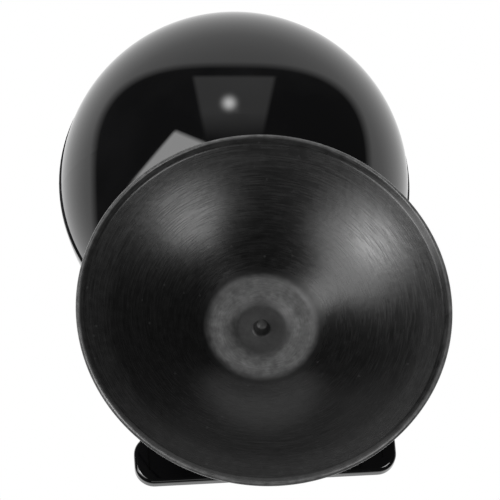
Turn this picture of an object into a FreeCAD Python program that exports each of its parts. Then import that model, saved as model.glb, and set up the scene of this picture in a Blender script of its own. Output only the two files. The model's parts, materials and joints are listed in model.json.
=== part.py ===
import FreeCAD, Part
import math
import os

# Lever-lock vacuum suction cup with a ball head on a folding neck.
# Millimetres. Z is the cup's axis and the rim stands on z = 0. The lever points
# to -Y, the neck and the ball to +Y, and the model is symmetric about X = 0.

V = FreeCAD.Vector
X_AXIS = V(1, 0, 0)
Z_AXIS = V(0, 0, 1)

# rubber cup
RIM_R = 40.0
CUP_DEPTH = 13.2
BEAD_R = 8.7
BOSS_R = 12.5
BOSS_TOP = 18.0
INSERT_R = 9.2
INSERT_Z = 15.0
INSERT_T = 1.8
NIB_H = 2.9
NIB_R = 1.9

# hard parts on the cup's back
DISH_T = 2.0
DISH_R = 30.0
HOUSING_R = 25.0
HOUSING_WALL = 2.2
TOP_T = 2.5
HOUSING_TOP = 26.5
WEAR_T = 0.8
SCREW_R = 1.5
SCREW_ANGLE = 35.0
SCREW_CIRCLE = 19.0
POST_R = 3.0

# stem and lever
STEM_R = 3.5
PIN_R = 1.48
CAM_P0 = 5.2
CAM_K = 2.4
CAM_END = 45.0
HUB_R = 4.4
HUB_HALF = 12.0
LEVER_T = 3.4
EDGE_R = 0.9
LEVER_LIFT = 2.1
PADDLE_HALF = 28.4
ARM_HALF = 26.9
PADDLE_LENGTH = 11.0
LEVER_TIP = 28.3
CORNER_R = 4.3

# neck joint
PIVOT_Y = 12.0
PIVOT_RISE = 5.5
EAR_R = 5.0
EAR_IN = 6.0
EAR_T = 4.0
BOLT_R = 2.0
KNOB_R = 5.2
KNOB_T = 8.5
FOLD_ANGLE = 32.3
NECK_LENGTH = 48.3

# ball
BALL_R = 40.0
BALL_WALL = 2.2
SEAM_PROUD = 0.35
SEAM_T = 1.2
COLLAR_R = 7.6
SHANK_R = 4.0
SEAT_DROP = 1.0
BALL_SCREW_INSET = 10.5
BALL_SCREW_ANGLE = 42.0

# clearances
RUN = 0.06
GAP = 0.25
THIN = 0.1

WEAR_TOP = HOUSING_TOP + WEAR_T
LEVER_UNDER = HOUSING_TOP + LEVER_LIFT
PIVOT_Z = HOUSING_TOP + PIVOT_RISE
PIN_Z = WEAR_TOP + 0.2 + CAM_P0
BALL_Y = PIVOT_Y + NECK_LENGTH * math.cos(math.radians(FOLD_ANGLE))
BALL_Z = PIVOT_Z + NECK_LENGTH * math.sin(math.radians(FOLD_ANGLE))
PIVOT = V(0, PIVOT_Y, PIVOT_Z)
BALL = V(0, BALL_Y, BALL_Z)
NECK_DIR = (BALL - PIVOT).normalize()


def save(node, shape):
    """Write one sub-part as a STEP file named after its node."""
    os.makedirs("parts", exist_ok=True)
    shape.exportStep("parts/" + node + ".step")


def rod(radius, start, end):
    """A solid cylinder between two points."""
    return Part.makeCylinder(radius, (end - start).Length, start, end - start)


def tube(outer, inner, start, end):
    """A hollow cylinder between two points."""
    return rod(outer, start, end).cut(rod(inner, start, end))


def z_rod(radius, low, high, x=0.0, y=0.0):
    """An upright cylinder."""
    return rod(radius, V(x, y, low), V(x, y, high))


def x_rod(radius, low, high, y, z):
    """A cylinder lying along X."""
    return rod(radius, V(low, y, z), V(high, y, z))


def block(x0, x1, y0, y1, z0, z1):
    """A box between two corners."""
    return Part.makeBox(x1 - x0, y1 - y0, z1 - z0, V(x0, y0, z0))


def turned(points):
    """A solid of revolution about Z from a closed outline of (radius, height)."""
    outline = [V(r, 0, z) for r, z in points]
    face = Part.Face(Part.makePolygon(outline + outline[:1]))
    return face.revolve(V(0, 0, 0), Z_AXIS, 360)


def rounded_plate(half, y0, y1, z0, z1, radius):
    """A flat plate with its four upright edges rounded."""
    plate = block(-half, half, y0, y1, z0, z1)
    upright = [e for e in plate.Edges if abs(e.tangentAt(e.FirstParameter).z) > 0.9]
    return plate.makeFillet(radius, upright)


def back_points(lift=0.0):
    """The cup's back from its boss to its lip, as (radius, height)."""
    shape = ((0.3625, 14.0), (0.5, 10.8), (0.65, 8.1), (0.825, 5.2), (0.9625, 3.0))
    return [(RIM_R * share, z + lift) for share, z in shape]


def back_height(radius, lift=0.0):
    """Height of the cup's back at a radius."""
    points = back_points(lift)
    for (r0, z0), (r1, z1) in zip(points, points[1:]):
        if radius <= r1:
            return z0 + (z1 - z0) * (radius - r0) / (r1 - r0)
    return points[-1][1]


def suction_pad():
    """Dished rubber cup with a lip, a centre bead, a nib and a boss on its back."""
    face = [(0, CUP_DEPTH - NIB_H), (0.6 * NIB_R, CUP_DEPTH - NIB_H), (NIB_R, CUP_DEPTH)]
    face += [(BEAD_R - 2.5, CUP_DEPTH), (BEAD_R - 0.8, CUP_DEPTH - 1.1)]
    face += [(BEAD_R + 0.8, CUP_DEPTH - 1.1), (BEAD_R + 2.4, CUP_DEPTH - 0.6)]
    slope = ((0.35, 11.4), (0.5, 8.4), (0.65, 5.9), (0.825, 3.2), (0.9575, 1.2))
    face += [(RIM_R * share, z) for share, z in slope]
    lip = [(RIM_R - 0.9, 0.0), (RIM_R - 0.3, 0.0), (RIM_R, 0.4), (RIM_R - 0.1, 1.1)]
    back = list(reversed(back_points()))
    boss = [(BOSS_R, 14.9), (BOSS_R, BOSS_TOP), (0, BOSS_TOP)]
    pad = turned(face + lip + back + boss)
    room = z_rod(INSERT_R + 0.2, INSERT_Z - THIN, INSERT_Z + INSERT_T + THIN)
    return pad.cut(room).cut(z_rod(STEM_R + 0.2, INSERT_Z, BOSS_TOP + 1))


def screw_spots():
    """Centres of the four housing screws."""
    turn = math.radians(SCREW_ANGLE)
    x, y = SCREW_CIRCLE * math.cos(turn), SCREW_CIRCLE * math.sin(turn)
    return [(sx * x, sy * y) for sx in (-1, 1) for sy in (-1, 1)]


def backing_dish():
    """Hard dish on the cup's back, with four screw posts."""
    inner = BOSS_R + 2.2
    stops = [inner] + [r for r, z in back_points() if inner < r < DISH_R] + [DISH_R]
    low = [(r, back_height(r, GAP)) for r in stops]
    high = [(r, z + DISH_T) for r, z in reversed(low)]
    dish = turned(low + high)
    beneath = turned([(0, 0), (DISH_R, 0)] + list(reversed(low)) + [(0, low[0][1])])
    for x, y in screw_spots():
        foot = back_height(SCREW_CIRCLE + POST_R, GAP)
        dish = dish.fuse(z_rod(POST_R, foot, HOUSING_TOP - TOP_T, x, y).cut(beneath))
        dish = dish.cut(z_rod(SCREW_R + 0.02, foot + 4.5, HOUSING_TOP, x, y))
    return dish


def housing():
    """Round cover over the cup's back, with the two ears of the neck joint."""
    floor = back_height(HOUSING_R - HOUSING_WALL, GAP) + DISH_T + 0.05
    body = z_rod(HOUSING_R, floor, HOUSING_TOP)
    top = [e for e in body.Edges if abs(e.CenterOfMass.z - HOUSING_TOP) < 0.01]
    body = body.makeFillet(1.5, top)
    body = body.cut(z_rod(HOUSING_R - HOUSING_WALL, floor - 1, HOUSING_TOP - TOP_T))
    for side in (-1, 1):
        low, high = sorted((side * EAR_IN, side * (EAR_IN + EAR_T)))
        foot = block(low, high, PIVOT_Y - EAR_R, PIVOT_Y + EAR_R, HOUSING_TOP - 1, PIVOT_Z)
        body = body.fuse(foot).fuse(x_rod(EAR_R, low, high, PIVOT_Y, PIVOT_Z))
    reach = EAR_IN + EAR_T + 1
    body = body.cut(x_rod(BOLT_R + 0.02, -reach, reach, PIVOT_Y, PIVOT_Z))
    body = body.cut(z_rod(BUSH_R + 0.02, 0, HOUSING_TOP + 1))
    for x, y in screw_spots():
        body = body.cut(z_rod(SCREW_R + 0.1, 0, HOUSING_TOP + 1, x, y))
        body = body.cut(z_rod(SCREW_R + 1.2, HOUSING_TOP - 1.5, HOUSING_TOP + 1, x, y))
    return body.removeSplitter()


def housing_screws():
    """Four screws that hold the housing on the dish's posts."""
    screws = []
    for x, y in screw_spots():
        head = z_rod(SCREW_R + 1.1, HOUSING_TOP - 1.5, HOUSING_TOP - 0.1, x, y)
        screw = head.fuse(z_rod(SCREW_R, HOUSING_TOP - 9, HOUSING_TOP - 1.5, x, y))
        screws.append(screw.cut(block(x - 2, x + 2, y - 0.3, y + 0.3, HOUSING_TOP - 0.7, HOUSING_TOP)))
    return Part.makeCompound(screws)


BUSH_R = STEM_R + 2.6


def guide_bush():
    """Flanged bush in the housing's top that guides the stem."""
    low = HOUSING_TOP - TOP_T
    bush = z_rod(BUSH_R, low, HOUSING_TOP).fuse(z_rod(BUSH_R + 1.4, low - 1, low))
    return bush.cut(z_rod(STEM_R + RUN, low - 2, HOUSING_TOP + 1))


def wear_plate():
    """Steel plate that the lever's cams run on."""
    plate = rounded_plate(HUB_HALF + 1, -9, 6, HOUSING_TOP, WEAR_TOP, 1.5)
    return plate.cut(z_rod(STEM_R + 0.6, HOUSING_TOP - 1, WEAR_TOP + 1))


def return_spring():
    """Coil spring that pushes the cup's centre back down."""
    low = BOSS_TOP + 0.1
    high = HOUSING_TOP - TOP_T - 1 - 0.1
    wire = 0.45
    coil = STEM_R + 1.3
    height = high - low - 2 * wire
    path = Part.makeHelix(height / 3, height, coil)
    path.translate(V(0, 0, low + wire))
    ring = Part.Wire(Part.makeCircle(wire, V(coil, 0, low + wire), V(0, 1, 0)))
    return Part.Wire(path).makePipeShell([ring], True, True)


def pad_insert():
    """Disc moulded into the cup's boss, which the stem pulls on."""
    disc = z_rod(INSERT_R, INSERT_Z, INSERT_Z + INSERT_T)
    return disc.cut(z_rod(STEM_R - 0.5, INSERT_Z - 1, INSERT_Z + INSERT_T + 1))


def stem():
    """Round stem with a flattened eye for the lever's pin."""
    shaft = z_rod(STEM_R, INSERT_Z + INSERT_T, PIN_Z)
    shaft = shaft.fuse(z_rod(STEM_R - 0.5, INSERT_Z, INSERT_Z + INSERT_T))
    shaft = shaft.fuse(x_rod(STEM_R, -STEM_R, STEM_R, 0, PIN_Z))
    flat = block(3.0, 9, -9, 9, WEAR_TOP - 0.3, PIN_Z + 9)
    shaft = shaft.cut(flat).cut(flat.mirror(V(0, 0, 0), X_AXIS))
    return shaft.cut(x_rod(PIN_R + 0.02, -9, 9, 0, PIN_Z)).removeSplitter()


def lever_pin():
    """Cross pin that joins the lever to the stem."""
    return x_rod(PIN_R, -HUB_HALF - 1.4, HUB_HALF + 1.4, 0, PIN_Z)


def pin_clips():
    """Two retaining rings at the ends of the pin."""
    rings = []
    for side in (-1, 1):
        start = V(side * (HUB_HALF + 0.2), 0, PIN_Z)
        rings.append(tube(PIN_R + 1.5, PIN_R, start, start + V(side * 0.6, 0, 0)))
    return Part.makeCompound(rings)


def cam_outline():
    """Outline of a cam whose support height falls evenly as the lever rises."""
    points = [V(0, -9.0, PIN_Z - CAM_P0)]
    steps = 10
    for i in range(steps + 1):
        a = math.radians(CAM_END + 5) * i / steps
        p = CAM_P0 - CAM_K * a
        y = p * math.sin(a) - CAM_K * math.cos(a)
        z = -p * math.cos(a) - CAM_K * math.sin(a)
        points.append(V(0, y, PIN_Z + z))
    heel = CAM_P0 - CAM_K * math.radians(CAM_END + 5)
    for degrees in (60, 75, 90):
        a = math.radians(degrees)
        points.append(V(0, heel * math.sin(a), PIN_Z - heel * math.cos(a)))
    points.append(V(0, -9.0, PIN_Z))
    return Part.makePolygon(points + points[:1])


def lever():
    """Locking lever: wide paddle, arm, hub and two cams."""
    top = LEVER_UNDER + LEVER_T
    paddle = rounded_plate(PADDLE_HALF, -LEVER_TIP, PADDLE_LENGTH - LEVER_TIP, LEVER_UNDER, top, CORNER_R)
    rims = [e for e in paddle.Edges if abs(e.CenterOfMass.z - (LEVER_UNDER + top) / 2) > LEVER_T / 2 - 0.01]
    paddle = paddle.makeFillet(EDGE_R, rims)
    arm = block(-ARM_HALF, ARM_HALF, -LEVER_TIP + CORNER_R + 1, -HUB_R - 0.2, LEVER_UNDER, top)
    hub = x_rod(HUB_R, -HUB_HALF, HUB_HALF, 0, PIN_Z)
    hub = hub.common(block(-HUB_HALF, HUB_HALF, -9, 9, PIN_Z, PIN_Z + 9))
    cam = Part.Face(cam_outline()).extrude(V(2 * HUB_HALF, 0, 0))
    cam.translate(V(-HUB_HALF, 0, 0))
    body = paddle.fuse(arm).fuse(hub).fuse(cam)
    panel = block(-PADDLE_HALF + 3, PADDLE_HALF - 3, -LEVER_TIP + 3, -HUB_R - 6, LEVER_UNDER - 1, LEVER_UNDER + 0.5)
    inlay = rounded_plate(PADDLE_HALF - 4, -LEVER_TIP + 3, -HUB_R - 5, top - 0.8, top + 1, 2.0)
    slot = block(-3.3, 3.3, -6.5, 9, 0, PIN_Z + 9)
    body = body.cut(panel).cut(inlay).cut(slot)
    return body.cut(x_rod(PIN_R + RUN, -HUB_HALF - 1, HUB_HALF + 1, 0, PIN_Z)).removeSplitter()


def lever_inlay():
    """Soft grip strip let into the lever's top, with raised ribs."""
    top = LEVER_UNDER + LEVER_T
    strip = rounded_plate(PADDLE_HALF - 4.1, -LEVER_TIP + 3.1, -HUB_R - 5.1, top - 0.8, top + 0.2, 1.9)
    for i in range(4):
        y = -LEVER_TIP + 5.5 + 2.6 * i
        strip = strip.fuse(block(-18, 18, y, y + 1.0, top, top + 0.7))
    return strip.removeSplitter()


def along_neck(distance):
    """The point on the neck's axis at a distance from the ball's centre."""
    return BALL - NECK_DIR * distance


SEAT = BALL_R - SEAT_DROP
INNER_SEAT = SEAT - 5.0


def neck_arm():
    """Neck with the eye of the tilt joint, a collar and a threaded shank."""
    eye = x_rod(EAR_R, -EAR_IN + 0.8, EAR_IN - 0.8, PIVOT_Y, PIVOT_Z)
    arm = eye.fuse(rod(4.6, PIVOT, along_neck(SEAT)))
    arm = arm.fuse(rod(COLLAR_R, along_neck(SEAT), along_neck(SEAT + 1.8)))
    arm = arm.fuse(rod(SHANK_R, along_neck(INNER_SEAT - 5.5), along_neck(SEAT)))
    return arm.cut(x_rod(BOLT_R + RUN, -9, 9, PIVOT_Y, PIVOT_Z)).removeSplitter()


def neck_washer():
    """Washer under the neck's nut, inside the ball."""
    return tube(COLLAR_R, SHANK_R, along_neck(INNER_SEAT - 1.0), along_neck(INNER_SEAT))


def neck_nut():
    """Hexagon nut on the neck's shank, inside the ball."""
    corners = []
    side = NECK_DIR.cross(X_AXIS)
    base = along_neck(INNER_SEAT - 1.0)
    for i in range(7):
        a = math.radians(60 * i)
        corners.append(base + X_AXIS * (6.5 * math.cos(a)) + side * (6.5 * math.sin(a)))
    nut = Part.Face(Part.makePolygon(corners)).extrude(NECK_DIR * 3.6)
    return nut.cut(rod(SHANK_R, base - NECK_DIR, base + NECK_DIR * 6))


def half_space(sign):
    """A big block above or below the ball's seam."""
    far = 2 * BALL_R
    low, high = (BALL_Z, BALL_Z + far) if sign > 0 else (BALL_Z - far, BALL_Z)
    return block(-far, far, BALL_Y - far, BALL_Y + far, low, high)


def ball_screw_spots():
    """Centres of the two upright screws that join the shells."""
    turn = math.radians(BALL_SCREW_ANGLE)
    reach = BALL_R - BALL_SCREW_INSET
    x, y = reach * math.sin(turn), BALL_Y - reach * math.cos(turn)
    return [(-x, y), (x, y)]


def ball_lower_shell():
    """Lower half shell with the seam flange, a spigot and the neck's seat."""
    outer = Part.makeSphere(BALL_R, BALL)
    hollow = Part.makeSphere(BALL_R - BALL_WALL, BALL)
    shell = outer.cut(hollow)
    seat = rod(COLLAR_R + 1.2, along_neck(INNER_SEAT), along_neck(BALL_R)).common(outer)
    shell = shell.fuse(seat)
    for x, y in ball_screw_spots():
        post = z_rod(4.2, BALL_Z - BALL_R, BALL_Z, x, y).common(outer)
        shell = shell.fuse(post)
    shell = shell.common(half_space(-1))
    low = V(0, BALL_Y, BALL_Z - SEAM_T)
    flange = tube(BALL_R + SEAM_PROUD, BALL_R - BALL_WALL + 0.2, low, low + Z_AXIS * SEAM_T)
    spigot_r = BALL_R - BALL_WALL - 0.3
    base = V(0, BALL_Y, BALL_Z - 3)
    spigot = tube(spigot_r, spigot_r - 1.2, base, base + Z_AXIS * 5)
    foot = tube(BALL_R - 1.0, spigot_r - 1.2, base, base + Z_AXIS * (3 - SEAM_T))
    shell = shell.fuse(flange).fuse(spigot).fuse(foot)
    shell = shell.cut(rod(COLLAR_R + 0.4, along_neck(SEAT), along_neck(BALL_R + 5)))
    shell = shell.cut(rod(SHANK_R + 0.1, along_neck(INNER_SEAT - 9), along_neck(BALL_R + 5)))
    for x, y in ball_screw_spots():
        shell = shell.cut(z_rod(SCREW_R + 0.1, BALL_Z - BALL_R, BALL_Z + 5, x, y))
        shell = shell.cut(z_rod(SCREW_R + 1.4, BALL_Z - BALL_R, BALL_Z - 18, x, y))
    return shell.removeSplitter()


def ball_upper_shell():
    """Upper half shell with two screw posts."""
    outer = Part.makeSphere(BALL_R, BALL)
    shell = outer.cut(Part.makeSphere(BALL_R - BALL_WALL, BALL))
    for x, y in ball_screw_spots():
        shell = shell.fuse(z_rod(3.6, BALL_Z, BALL_Z + BALL_R, x, y).common(outer))
    shell = shell.common(half_space(1))
    for x, y in ball_screw_spots():
        shell = shell.cut(z_rod(SCREW_R, BALL_Z - 1, BALL_Z + 9, x, y))
    return shell.removeSplitter()


def ball_screws():
    """Two screws up through the lower shell's posts."""
    screws = []
    for x, y in ball_screw_spots():
        head = z_rod(SCREW_R + 1.2, BALL_Z - 20, BALL_Z - 18, x, y)
        screws.append(head.fuse(z_rod(SCREW_R, BALL_Z - 18, BALL_Z + 8, x, y)))
    return Part.makeCompound(screws)


def tilt_bolt():
    """Bolt through the ears and the neck's eye."""
    outer = EAR_IN + EAR_T
    head = x_rod(3.8, -outer - 2.8, -outer, PIVOT_Y, PIVOT_Z)
    head = head.cut(x_rod(1.7, -outer - 3, -outer - 1.2, PIVOT_Y, PIVOT_Z))
    return head.fuse(x_rod(BOLT_R, -outer, outer + KNOB_T - 1.5, PIVOT_Y, PIVOT_Z))


def friction_washers():
    """Two washers between the ears and the neck's eye."""
    rings = []
    for side in (-1, 1):
        start = V(side * (EAR_IN - 0.75), PIVOT_Y, PIVOT_Z)
        rings.append(tube(EAR_R - 0.4, BOLT_R + 0.03, start, start + V(side * 0.7, 0, 0)))
    return Part.makeCompound(rings)


def thumb_knob():
    """Clamp knob with eight finger flutes."""
    low = EAR_IN + EAR_T + 0.2
    knob = x_rod(KNOB_R, low, low + KNOB_T, PIVOT_Y, PIVOT_Z)
    for i in range(8):
        a = math.radians(45 * i)
        y = PIVOT_Y + (KNOB_R + 0.6) * math.cos(a)
        z = PIVOT_Z + (KNOB_R + 0.6) * math.sin(a)
        knob = knob.cut(x_rod(1.3, low + 1.5, low + KNOB_T + 1, y, z))
    return knob.cut(x_rod(3.2, low - 1, low + KNOB_T - 1.2, PIVOT_Y, PIVOT_Z))


def knob_insert():
    """Threaded metal insert in the knob."""
    low = EAR_IN + EAR_T + 0.2
    start = V(low, PIVOT_Y, PIVOT_Z)
    return tube(3.2, BOLT_R + RUN, start, start + V(KNOB_T - 1.4, 0, 0))


BUILDERS = (
    suction_pad, backing_dish, housing, housing_screws, guide_bush, wear_plate,
    return_spring, pad_insert, stem, lever_pin, pin_clips, lever, lever_inlay,
    neck_arm, neck_washer, neck_nut, ball_lower_shell, ball_upper_shell,
    ball_screws, tilt_bolt, friction_washers, thumb_knob, knob_insert,
)

for build in BUILDERS:
    shape = build()
    save(build.__name__, shape)
    print(build.__name__, len(shape.Solids), shape.isValid(), round(shape.Volume, 1))
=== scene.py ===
import json
import math
import bpy
import numpy as np
from mathutils import Matrix, Vector


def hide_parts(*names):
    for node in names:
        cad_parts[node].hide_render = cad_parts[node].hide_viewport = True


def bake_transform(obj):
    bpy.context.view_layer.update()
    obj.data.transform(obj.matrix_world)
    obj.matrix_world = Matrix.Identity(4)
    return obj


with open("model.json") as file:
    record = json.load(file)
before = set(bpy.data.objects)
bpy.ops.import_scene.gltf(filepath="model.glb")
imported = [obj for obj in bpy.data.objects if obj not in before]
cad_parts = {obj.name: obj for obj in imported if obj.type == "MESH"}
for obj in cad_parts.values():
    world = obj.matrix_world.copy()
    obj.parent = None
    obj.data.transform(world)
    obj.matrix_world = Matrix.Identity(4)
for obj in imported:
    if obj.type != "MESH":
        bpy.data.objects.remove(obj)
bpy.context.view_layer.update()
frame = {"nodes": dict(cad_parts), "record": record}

# the cup, in millimetres
MM = 0.001
RIM_R = 40.0
CUP_DEPTH = 13.2
BOSS_R = 12.5
BOSS_TOP = 18.0
STEM_HOLE_R = 3.7
PAD_STEPS = 256
RUBBED_R = 14.0

# base colour of the cup against radius, as (share of the rim's radius, grey); the grey band from 0.18 to
# 0.265 is the rubbed ring round the nib painted lighter as its highlight, and the pale step from 0.975 out
# is a painted highlight on the lip's edge
RUBBER_GREYS_WITH_PAINTED_HIGHLIGHTS = (
    (0.0, 0.022), (0.13, 0.016), (0.18, 0.085), (0.265, 0.085), (0.315, 0.0055),
    (0.8, 0.0045), (0.86, 0.011), (0.955, 0.012), (0.975, 0.03), (0.99, 0.13),
)

# the studio: levels of its walls and lamps, where 1 is white
ROOM_LEVEL = 0.045
WALL_LEVEL = 0.7
FRONT_BOX_LEVEL = 0.4
SPOT_LEVEL = 7.0
SIDE_BOX_LEVEL = 4.0
LAMP_DISTANCE = 0.9
FLOOR_SIZE = 1.6
FLOOR_DROP = 0.0002

# viewing angle, distance and lens of the camera, and how far beside the axis it aims
ELEVATION = -68.2
AZIMUTH = 11.87
ROLL = 188.2
DISTANCE = 0.84
LENS = 285.5
AIM_RIGHT = -0.0031
AIM_UP = 0.0119


def camera_axes():
    """Direction to the camera, and the image's right and up, in the row frame."""
    el, az, roll = (math.radians(a) for a in (ELEVATION, AZIMUTH, ROLL))
    away = Vector((math.sin(az) * math.cos(el), -math.cos(az) * math.cos(el), math.sin(el)))
    side = Vector((0, 0, 1)).cross(away).normalized()
    top = away.cross(side)
    right = side * math.cos(roll) + top * math.sin(roll)
    up = top * math.cos(roll) - side * math.sin(roll)
    return away, right, up


AWAY, RIGHT, UP = camera_axes()


def add_camera():
    """The scene's camera, below the cup and looking up into it."""
    data = bpy.data.cameras.new("camera")
    data.lens = LENS
    data.sensor_width = 36.0
    data.clip_start = 0.01
    camera = bpy.data.objects.new("camera", data)
    bpy.context.scene.collection.objects.link(camera)
    eye = AWAY * DISTANCE
    back = (eye - RIGHT * AIM_RIGHT - UP * AIM_UP).normalized()
    right = UP.cross(back).normalized()
    up = back.cross(right)
    turn = Matrix((right, up, back)).transposed().to_4x4()
    camera.matrix_world = Matrix.Translation(eye) @ turn
    bpy.context.scene.camera = camera


def new_material(name, color, roughness, metallic=0.0):
    """A Principled material with its constants set on the shader."""
    material = bpy.data.materials.new(name)
    material.use_nodes = True
    shader = material.node_tree.nodes["Principled BSDF"]
    shader.inputs["Base Color"].default_value = (*color, 1)
    shader.inputs["Roughness"].default_value = roughness
    shader.inputs["Metallic"].default_value = metallic
    return material, shader


def mix_colors(nodes, links, blend, factor, first, second):
    """Two colours mixed by a blend mode; factor is a number or a socket."""
    mix = nodes.new("ShaderNodeMix")
    mix.data_type = "RGBA"
    mix.blend_type = blend
    if isinstance(factor, float):
        mix.inputs[0].default_value = factor
    else:
        links.new(factor, mix.inputs[0])
    links.new(first, mix.inputs[6])
    links.new(second, mix.inputs[7])
    return mix.outputs[2]


def sum_node(nodes, links, operation, first, second, third=None):
    """One math node; each input is a number or a socket."""
    node = nodes.new("ShaderNodeMath")
    node.operation = operation
    for socket, value in zip(node.inputs, (first, second, third)):
        if isinstance(value, (int, float)):
            socket.default_value = value
        elif value is not None:
            links.new(value, socket)
    return node.outputs["Value"]


def fade(nodes, links, value, start, end, low=0.0, high=1.0):
    """low before start, high after end, straight between; end may be below start."""
    ramp = nodes.new("ShaderNodeMapRange")
    ramp.inputs["From Min"].default_value = start
    ramp.inputs["From Max"].default_value = end
    ramp.inputs["To Min"].default_value = low
    ramp.inputs["To Max"].default_value = high
    links.new(value, ramp.inputs["Value"])
    return ramp.outputs["Result"]


def add_noise(nodes, links, vector, scale, detail):
    """A noise texture on a vector; returns its value."""
    noise = nodes.new("ShaderNodeTexNoise")
    noise.inputs["Scale"].default_value = scale
    noise.inputs["Detail"].default_value = detail
    links.new(vector, noise.inputs["Vector"])
    return noise.outputs["Fac"]


def add_bump(nodes, links, height, strength, distance):
    """A bump node on a height; distance is in metres."""
    bump = nodes.new("ShaderNodeBump")
    bump.inputs["Strength"].default_value = strength
    bump.inputs["Distance"].default_value = distance
    links.new(height, bump.inputs["Height"])
    return bump


def grain_group():
    """Shared finish: noise gives a tone between two colours, a roughness and a fine bump."""
    group = bpy.data.node_groups.new("grain", "ShaderNodeTree")
    sockets = (("Vector", "Vector"), ("Scale", "Float"), ("Tone", "Color"), ("Worn", "Color"),
               ("Smooth", "Float"), ("Rough", "Float"), ("Relief", "Float"))
    for name, kind in sockets:
        group.interface.new_socket(name, in_out="INPUT", socket_type="NodeSocket" + kind)
    for name, kind in (("Color", "Color"), ("Roughness", "Float"), ("Normal", "Vector")):
        group.interface.new_socket(name, in_out="OUTPUT", socket_type="NodeSocket" + kind)
    nodes, links = group.nodes, group.links
    given = nodes.new("NodeGroupInput")
    result = nodes.new("NodeGroupOutput")
    noise = nodes.new("ShaderNodeTexNoise")
    noise.inputs["Detail"].default_value = 7
    links.new(given.outputs["Vector"], noise.inputs["Vector"])
    links.new(given.outputs["Scale"], noise.inputs["Scale"])
    spread = nodes.new("ShaderNodeMapRange")
    spread.inputs["From Min"].default_value = 0.3
    spread.inputs["From Max"].default_value = 0.7
    links.new(noise.outputs["Fac"], spread.inputs["Value"])
    links.new(given.outputs["Smooth"], spread.inputs["To Min"])
    links.new(given.outputs["Rough"], spread.inputs["To Max"])
    links.new(spread.outputs["Result"], result.inputs["Roughness"])
    worn = fade(nodes, links, noise.outputs["Fac"], 0.45, 0.75)
    color = mix_colors(nodes, links, "MIX", worn, given.outputs["Tone"], given.outputs["Worn"])
    links.new(color, result.inputs["Color"])
    relief = add_bump(nodes, links, noise.outputs["Fac"], 1.0, 0.00005)
    links.new(given.outputs["Relief"], relief.inputs["Strength"])
    links.new(relief.outputs["Normal"], result.inputs["Normal"])
    return group


def add_grain(material, shader, group, scale, tones, rough, relief):
    """The grain group on a material: two grey tones or colours, low and high roughness, bump."""
    nodes, links = material.node_tree.nodes, material.node_tree.links
    place = nodes.new("ShaderNodeTexCoord")
    grain = nodes.new("ShaderNodeGroup")
    grain.node_tree = group
    links.new(place.outputs["Object"], grain.inputs["Vector"])
    grain.inputs["Scale"].default_value = scale
    grain.inputs["Tone"].default_value = (*tones[0], 1)
    grain.inputs["Worn"].default_value = (*tones[1], 1)
    grain.inputs["Smooth"].default_value = rough[0]
    grain.inputs["Rough"].default_value = rough[1]
    grain.inputs["Relief"].default_value = relief
    links.new(grain.outputs["Color"], shader.inputs["Base Color"])
    links.new(grain.outputs["Roughness"], shader.inputs["Roughness"])
    links.new(grain.outputs["Normal"], shader.inputs["Normal"])


def ramp_with_painted_highlights(nodes, links, radius):
    """Base colour against radius: black on its slope, grey on the rubbed ring round the nib as a painted
    highlight, and a painted highlight on the lip's edge.
    """
    share = sum_node(nodes, links, "MULTIPLY", radius, 1 / (RIM_R * MM))
    ramp = nodes.new("ShaderNodeValToRGB")
    elements = ramp.color_ramp.elements
    while len(elements) < len(RUBBER_GREYS_WITH_PAINTED_HIGHLIGHTS):
        elements.new(0.5)
    for element, (place, grey) in zip(elements, RUBBER_GREYS_WITH_PAINTED_HIGHLIGHTS):
        element.position = place
        element.color = (grey, grey, grey, 1)
    links.new(share, ramp.inputs["Fac"])
    return ramp.outputs["Color"]


def turned_marks(nodes, links, flat, radius):
    """Noise on (4x/r, 4y/r, 2400r): marks long round the axis and fine across it."""
    around = nodes.new("ShaderNodeVectorMath")
    around.operation = "NORMALIZE"
    links.new(flat, around.inputs[0])
    across = nodes.new("ShaderNodeCombineXYZ")
    links.new(sum_node(nodes, links, "MULTIPLY", radius, 2400.0), across.inputs["Z"])
    turned = nodes.new("ShaderNodeVectorMath")
    turned.operation = "MULTIPLY_ADD"
    turned.inputs[1].default_value = (4, 4, 4)
    links.new(around.outputs["Vector"], turned.inputs[0])
    links.new(across.outputs["Vector"], turned.inputs[2])
    return add_noise(nodes, links, turned.outputs["Vector"], 1.6, 6)


def dust_specks(nodes, links, place):
    """Small grey specks at the cell points of a Voronoi texture."""
    cells = nodes.new("ShaderNodeTexVoronoi")
    cells.inputs["Scale"].default_value = 260
    links.new(place, cells.inputs["Vector"])
    return fade(nodes, links, cells.outputs["Distance"], 0.02, 0.09, 0.025, 0.0)


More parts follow.
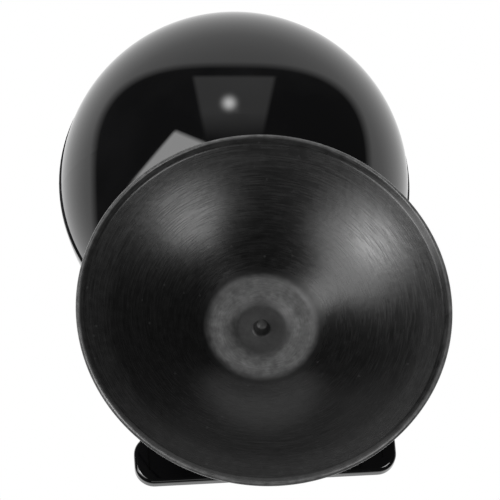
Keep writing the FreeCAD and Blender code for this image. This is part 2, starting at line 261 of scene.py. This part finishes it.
def rubber():
    """Black rubber: turned marks round the axis, a rubbed matt centre, painted highlights on the ring round
    the nib and on the lip, scuffs and dust.
    """
    material, shader = new_material("black_rubber", (0.008, 0.008, 0.008), 0.33)
    nodes, links = material.node_tree.nodes, material.node_tree.links
    place = nodes.new("ShaderNodeTexCoord").outputs["Object"]
    flat = nodes.new("ShaderNodeVectorMath")
    flat.operation = "MULTIPLY"
    flat.inputs[1].default_value = (1, 1, 0)
    links.new(place, flat.inputs[0])
    length = nodes.new("ShaderNodeVectorMath")
    length.operation = "LENGTH"
    links.new(flat.outputs["Vector"], length.inputs[0])
    radius = length.outputs["Value"]
    marks = turned_marks(nodes, links, flat.outputs["Vector"], radius)
    mottle = add_noise(nodes, links, place, 600, 8)
    # the ramp's grey ring round the nib and pale lip edge are painted highlights
    color = mix_colors(nodes, links, "OVERLAY", 0.9, ramp_with_painted_highlights(nodes, links, radius), mottle)
    color = mix_colors(nodes, links, "OVERLAY", 0.6, color, marks)
    color = mix_colors(nodes, links, "ADD", 1.0, color, dust_specks(nodes, links, place))
    links.new(color, shader.inputs["Base Color"])
    gloss = fade(nodes, links, marks, 0.3, 0.7, 0.21, 0.31)
    matt = fade(nodes, links, radius, RUBBED_R * MM, (RUBBED_R - 3) * MM)
    links.new(sum_node(nodes, links, "MULTIPLY_ADD", matt, 0.2, gloss), shader.inputs["Roughness"])
    grooves = add_bump(nodes, links, marks, 0.3, 0.00002)
    pits = add_bump(nodes, links, mottle, 0.3, 0.00006)
    links.new(grooves.outputs["Normal"], pits.inputs["Normal"])
    links.new(pits.outputs["Normal"], shader.inputs["Normal"])
    return material


def build_materials():
    """One procedural material for each finish on the object."""
    group = grain_group()
    gloss, shader = new_material("gloss_black", (0.004, 0.004, 0.0045), 0.04)
    shader.inputs["IOR"].default_value = 1.62
    add_grain(gloss, shader, group, 60, ((0.003, 0.003, 0.0034), (0.007, 0.007, 0.0075)), (0.025, 0.07), 0.0)
    satin, shader = new_material("satin_black", (0.015, 0.015, 0.016), 0.35)
    add_grain(satin, shader, group, 1500, ((0.012, 0.012, 0.013), (0.024, 0.024, 0.025)), (0.28, 0.42), 0.2)
    steel, shader = new_material("steel", (0.6, 0.6, 0.61), 0.3, 1.0)
    add_grain(steel, shader, group, 700, ((0.58, 0.58, 0.59), (0.7, 0.7, 0.7)), (0.2, 0.36), 0.15)
    brass, shader = new_material("brass", (0.72, 0.52, 0.22), 0.3, 1.0)
    add_grain(brass, shader, group, 700, ((0.68, 0.48, 0.2), (0.8, 0.6, 0.3)), (0.24, 0.38), 0.15)
    white, shader = new_material("white_plastic", (0.7, 0.69, 0.65), 0.4)
    add_grain(white, shader, group, 900, ((0.7, 0.69, 0.65), (0.6, 0.59, 0.55)), (0.35, 0.5), 0.15)
    return {
        "rubber_black": rubber(),
        "gloss_black": gloss,
        "satin_black": satin,
        "steel": steel,
        "brass": brass,
        "bush": white,
    }


def smooth_profile(points, steps):
    """Catmull-Rom curve through (radius, height) points: cubic between each pair."""
    p = np.array([points[0]] + list(points) + [points[-1]], float)
    curve = []
    for i in range(1, len(p) - 2):
        t = np.linspace(0, 1, steps, endpoint=False)[:, None]
        a, b, c, d = p[i - 1], p[i], p[i + 1], p[i + 2]
        line = b + 0.5 * t * (c - a)
        line = line + 0.5 * t * t * (2 * a - 5 * b + 4 * c - d)
        line = line + 0.5 * t ** 3 * (3 * b - a - 3 * c + d)
        curve.append(line)
    return np.vstack(curve + [p[-1:]])


def pad_outline():
    """Closed outline of the cup from the nib's tip, over the lip, to the boss."""
    nib = [(0, CUP_DEPTH - 2.7), (1.0, CUP_DEPTH - 2.7), (1.2, CUP_DEPTH - 2.5), (1.5, CUP_DEPTH - 0.6)]
    middle = [(1.9, CUP_DEPTH - 0.1), (5.0, CUP_DEPTH), (6.8, 12.7), (8.3, 12.4), (10.0, 12.5), (11.6, 12.2)]
    slope = [(14, 10.9), (20, 7.6), (26, 4.9), (33, 2.45), (38.3, 0.95)]
    lip = [(39.1, 0.1), (39.4, 0.0), (RIM_R - 0.2, 0.15), (RIM_R, 0.6), (39.9, 1.1)]
    back = [(38.5, 3.0), (33, 5.2), (26, 8.1), (20, 10.8), (14.5, 14.0)]
    boss = [(BOSS_R, 14.9), (BOSS_R, BOSS_TOP - 0.3), (BOSS_R - 0.3, BOSS_TOP)]
    hole = [(STEM_HOLE_R, BOSS_TOP), (STEM_HOLE_R, BOSS_TOP - 1), (0, BOSS_TOP - 1)]
    front = [nib, smooth_profile(middle + slope, 8), smooth_profile(lip, 6)]
    return np.vstack(front + [smooth_profile(back, 5), boss, hole]) * MM


def lathe(name, outline):
    """Closed surface of revolution: x = r cos a, y = r sin a, z = h; the ends lie on the axis."""
    angle = np.linspace(0, 2 * np.pi, PAD_STEPS, endpoint=False)
    radius, height = outline[1:-1, 0], outline[1:-1, 1]
    rings = np.stack([np.outer(radius, np.cos(angle)), np.outer(radius, np.sin(angle)),
                      np.outer(height, np.ones_like(angle))], 2).reshape(-1, 3)
    poles = np.array([[0, 0, outline[0, 1]], [0, 0, outline[-1, 1]]])
    here = np.arange(PAD_STEPS)
    ahead = np.roll(here, -1)
    start = np.arange(len(radius) - 1)[:, None] * PAD_STEPS
    quads = np.stack([start + here, start + ahead, start + PAD_STEPS + ahead, start + PAD_STEPS + here], 2)
    last_ring = (len(radius) - 1) * PAD_STEPS
    nib_fan = np.stack([np.full(PAD_STEPS, len(rings)), ahead, here], 1)
    hole_fan = np.stack([np.full(PAD_STEPS, len(rings) + 1), last_ring + here, last_ring + ahead], 1)
    faces = quads.reshape(-1, 4).tolist() + nib_fan.tolist() + hole_fan.tolist()
    mesh = bpy.data.meshes.new(name)
    mesh.from_pydata(np.vstack([rings, poles]).tolist(), [], faces)
    mesh.polygons.foreach_set("use_smooth", [True] * len(mesh.polygons))
    mesh.update()
    piece = bpy.data.objects.new(name, mesh)
    bpy.context.scene.collection.objects.link(piece)
    return piece


def paint_frame(materials):
    """Give every CAD node the material of its slot."""
    slots = {s["node"]: s["material_slot"] for s in frame["record"]["subparts"]}
    for node, piece in frame["nodes"].items():
        piece.data.materials.clear()
        piece.data.materials.append(materials[slots[node]])


def add_light(name, right, up, toward, size, energy):
    """A square soft light placed by its direction in the image."""
    data = bpy.data.lights.new(name, "AREA")
    data.size = size
    data.energy = energy
    light = bpy.data.objects.new(name, data)
    bpy.context.scene.collection.objects.link(light)
    place = (RIGHT * right + UP * up + AWAY * toward).normalized() * LAMP_DISTANCE
    light.location = place
    light.rotation_euler = place.to_track_quat("Z", "Y").to_euler()


def add_floor():
    """A pale floor under the rim, seen only from above and by the camera alone."""
    bpy.ops.mesh.primitive_plane_add(size=FLOOR_SIZE, location=(0, 0, -FLOOR_DROP))
    floor = bpy.context.object
    floor.name = "floor"
    material, shader = new_material("pale_floor", (0.86, 0.86, 0.86), 0.7)
    nodes, links = material.node_tree.nodes, material.node_tree.links
    side = nodes.new("ShaderNodeNewGeometry")
    clear = nodes.new("ShaderNodeBsdfTransparent")
    mix = nodes.new("ShaderNodeMixShader")
    links.new(side.outputs["Backfacing"], mix.inputs[0])
    links.new(shader.outputs["BSDF"], mix.inputs[1])
    links.new(clear.outputs["BSDF"], mix.inputs[2])
    links.new(mix.outputs["Shader"], nodes["Material Output"].inputs["Surface"])
    floor.data.materials.append(material)
    floor.visible_diffuse = False
    floor.visible_glossy = False
    floor.visible_transmission = False
    floor.visible_shadow = False


def room_place(nodes, links):
    """A ray's place in the studio, as (across, upward).

    It is the half-way direction between the ray and AWAY, measured along RIGHT and UP. These are
    constants, so the studio is fixed in space and the same from every side.
    """
    ray = nodes.new("ShaderNodeTexCoord")
    half = nodes.new("ShaderNodeVectorMath")
    half.operation = "ADD"
    half.inputs[1].default_value = AWAY
    links.new(ray.outputs["Generated"], half.inputs[0])
    unit = nodes.new("ShaderNodeVectorMath")
    unit.operation = "NORMALIZE"
    links.new(half.outputs["Vector"], unit.inputs[0])
    values = []
    for direction in (RIGHT, UP):
        dot = nodes.new("ShaderNodeVectorMath")
        dot.operation = "DOT_PRODUCT"
        dot.inputs[1].default_value = direction
        links.new(unit.outputs["Vector"], dot.inputs[0])
        values.append(dot.outputs["Value"])
    return values


def build_world():
    """A dark room with pale walls behind the object, a front box, a spot and a side box.

    Camera rays see plain white, and mirrored rays see white behind the object.
    """
    world = bpy.data.worlds.new("studio")
    bpy.context.scene.world = world
    world.use_nodes = True
    nodes, links = world.node_tree.nodes, world.node_tree.links
    across, upward = room_place(nodes, links)

    def calc(operation, first, second, third=None):
        return sum_node(nodes, links, operation, first, second, third)

    def step(value, start, end):
        return fade(nodes, links, value, start, end)

    # pale walls outside a rounded rectangle, and white well behind the object
    wide = calc("POWER", calc("ABSOLUTE", calc("MULTIPLY_ADD", across, 1.28, 0.02), 0.0), 3.2)
    high = calc("POWER", calc("ABSOLUTE", calc("MULTIPLY_ADD", upward, 1.42, 0.05), 0.0), 3.2)
    walls = calc("MULTIPLY", step(calc("ADD", wide, high), 0.92, 1.1), WALL_LEVEL)
    turned = calc("ADD", calc("MULTIPLY", across, across), calc("MULTIPLY", upward, upward))
    behind = step(turned, 0.72, 0.95)

    # front box, narrower towards its foot, where it fades
    half_width = calc("MULTIPLY_ADD", upward, -0.2, calc("ABSOLUTE", across, 0.0))
    front_box = calc("MULTIPLY", step(half_width, 0.12, 0.095), step(upward, 0.615, 0.595))
    front_box = calc("MULTIPLY", calc("MULTIPLY", front_box, step(upward, 0.24, 0.4)), FRONT_BOX_LEVEL)

    # round spot in the front box
    aside = calc("POWER", calc("ADD", across, 0.027), 2.0)
    above = calc("POWER", calc("ABSOLUTE", calc("SUBTRACT", upward, 0.451), 0.0), 2.0)
    spot = calc("POWER", step(calc("ADD", aside, above), 0.009, 0.0), 7.0)
    spot = calc("MULTIPLY", spot, SPOT_LEVEL)

    # side box, bounded by two slanting edges
    outer = calc("SUBTRACT", calc("MULTIPLY_ADD", across, 1.15, 0.69), upward)
    top = calc("SUBTRACT", calc("MULTIPLY_ADD", across, -0.43, 0.168), upward)
    side_box = calc("MULTIPLY", step(outer, 0.0, 0.03), step(top, 0.0, 0.03))
    side_box = calc("MULTIPLY", side_box, step(across, -0.1, -0.14))
    side_box = calc("MULTIPLY", calc("MULTIPLY", side_box, step(upward, -0.02, 0.04)), SIDE_BOX_LEVEL)

    level = ROOM_LEVEL
    for part in (walls, front_box, spot, side_box):
        level = calc("ADD", part, level)
    path = nodes.new("ShaderNodeLightPath")
    mirrored = calc("ADD", path.outputs["Is Glossy Ray"], path.outputs["Is Transmission Ray"])
    mix = nodes.new("ShaderNodeMix")
    links.new(calc("MULTIPLY_ADD", mirrored, behind, path.outputs["Is Camera Ray"]), mix.inputs["Factor"])
    links.new(level, mix.inputs["A"])
    mix.inputs["B"].default_value = 1.0
    links.new(mix.outputs["Result"], nodes["Background"].inputs["Color"])


materials = build_materials()
paint_frame(materials)
pad = lathe("pad_skin", pad_outline())
pad.data.materials.append(materials["rubber_black"])
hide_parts("suction_pad")
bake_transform(pad)

add_light("right_box", 0.476, 0.17, 0.866, 0.26, 1.45)
add_light("left_box", -0.39, 0.36, 0.85, 0.14, 0.95)
add_light("low_box", 0.0, -0.75, 0.65, 0.35, 0.3)
add_floor()
build_world()
add_camera()
bpy.context.scene.view_settings.view_transform = "Standard"
